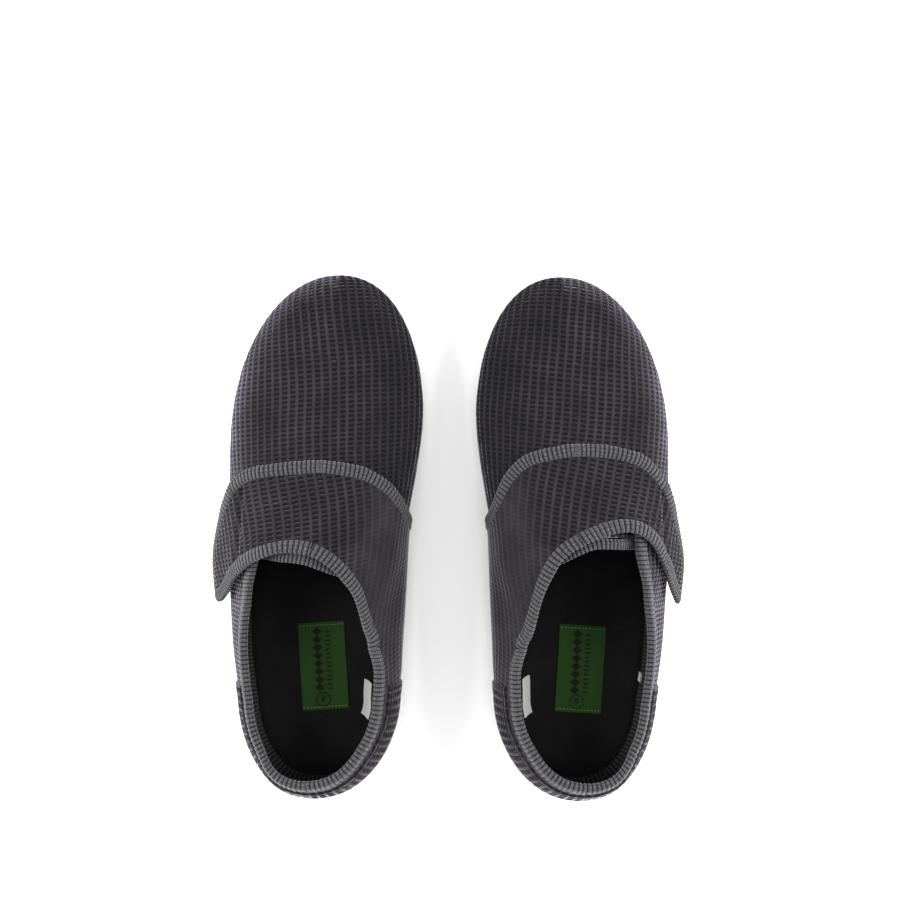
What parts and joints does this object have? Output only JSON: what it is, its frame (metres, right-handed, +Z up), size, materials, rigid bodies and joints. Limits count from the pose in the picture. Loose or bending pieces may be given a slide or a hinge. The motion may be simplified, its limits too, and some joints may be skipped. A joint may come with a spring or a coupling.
{
  "type": "spa slippers",
  "caption": "Pair of closed waffle-velour spa slippers, each with a cross-over strap and hook-and-loop tab, knitted edge binding, fleece lining and a ridged sole.",
  "frame": {"origin": "On the ground, in the middle of the pair's bounding box seen from above.", "axes": "+X to the right slipper, +Y towards the toes, +Z up from the soles."},
  "size_m": [0.2637, 0.301, 0.0909],
  "materials": {
    "outsole": "moulded, fine matt grain",
    "midsole": "closed-cell foam",
    "insole_board": "pressed fibre board",
    "footbed": "open-cell foam",
    "fleece": "brushed fleece",
    "label": "woven satin",
    "tape": "ribbed woven tape",
    "waffle_velour": "waffle-embossed velour",
    "stiffener": "bonded fibre stiffener",
    "knit_binding": "ribbed knit",
    "loop_tape": "looped pile tape",
    "hook_tape": "moulded hooks",
    "tag": "printed satin"
  },
  "bodies": {
    "left_slipper": {"left_outsole": "outsole", "left_midsole": "midsole", "left_insole_board": "insole_board", "left_footbed": "footbed", "left_sock_liner": "fleece", "left_woven_label": "label", "left_seam_tape": "tape", "left_vamp": "waffle_velour", "left_vamp_lining": "fleece", "left_toe_puff": "stiffener", "left_lateral_quarter": "waffle_velour", "left_medial_quarter": "waffle_velour", "left_quarter_lining": "fleece", "left_heel_counter": "stiffener", "left_heel_panel": "waffle_velour", "left_topline_binding": "knit_binding", "left_quarter_front_binding": "knit_binding", "left_loop_patch": "loop_tape", "left_care_label": "tag", "left_tongue": "waffle_velour", "left_tongue_lining": "fleece", "left_tongue_binding": "knit_binding"},
    "left_strap": {"left_strap": "waffle_velour", "left_strap_lining": "fleece", "left_strap_binding": "knit_binding"},
    "left_tab": {"left_tab": "waffle_velour", "left_tab_lining": "fleece", "left_tab_binding": "knit_binding", "left_hook_patch": "hook_tape"},
    "right_slipper": {"right_outsole": "outsole", "right_midsole": "midsole", "right_insole_board": "insole_board", "right_footbed": "footbed", "right_sock_liner": "fleece", "right_woven_label": "label", "right_seam_tape": "tape", "right_vamp": "waffle_velour", "right_vamp_lining": "fleece", "right_toe_puff": "stiffener", "right_lateral_quarter": "waffle_velour", "right_medial_quarter": "waffle_velour", "right_quarter_lining": "fleece", "right_heel_counter": "stiffener", "right_heel_panel": "waffle_velour", "right_topline_binding": "knit_binding", "right_quarter_front_binding": "knit_binding", "right_loop_patch": "loop_tape", "right_care_label": "tag", "right_tongue": "waffle_velour", "right_tongue_lining": "fleece", "right_tongue_binding": "knit_binding", "right_size_tag": "tag"},
    "right_strap": {"right_strap": "waffle_velour", "right_strap_lining": "fleece", "right_strap_binding": "knit_binding"},
    "right_tab": {"right_tab": "waffle_velour", "right_tab_lining": "fleece", "right_tab_binding": "knit_binding", "right_hook_patch": "hook_tape"}
  },
  "joints": [
    {"name": "right_slipper_lift", "type": "slide", "parent": "left_slipper", "child": "right_slipper", "axis": [0, 0, 1], "range_m": [0, 0.12]},
    {"name": "left_strap_open", "type": "hinge", "parent": "left_slipper", "child": "left_strap", "pos_m": [-0.03492, -0.015, 0.06408], "axis": [0.1571, 0.965, -0.2101], "range_deg": [0, 75]},
    {"name": "left_tab_peel", "type": "hinge", "parent": "left_strap", "child": "left_tab", "pos_m": [-0.1226, 0.006, 0.05983], "axis": [-0.0394, 0.976, -0.2142], "range_deg": [0, 45]},
    {"name": "right_strap_open", "type": "hinge", "parent": "right_slipper", "child": "right_strap", "pos_m": [0.0329, -0.01561, 0.06408], "axis": [0.1403, -0.9676, 0.2101], "range_deg": [0, 75]},
    {"name": "right_tab_peel", "type": "hinge", "parent": "right_strap", "child": "right_tab", "pos_m": [0.12094, 0.00386, 0.05983], "axis": [-0.0564, -0.9752, 0.2142], "range_deg": [0, 45]}
  ]
}
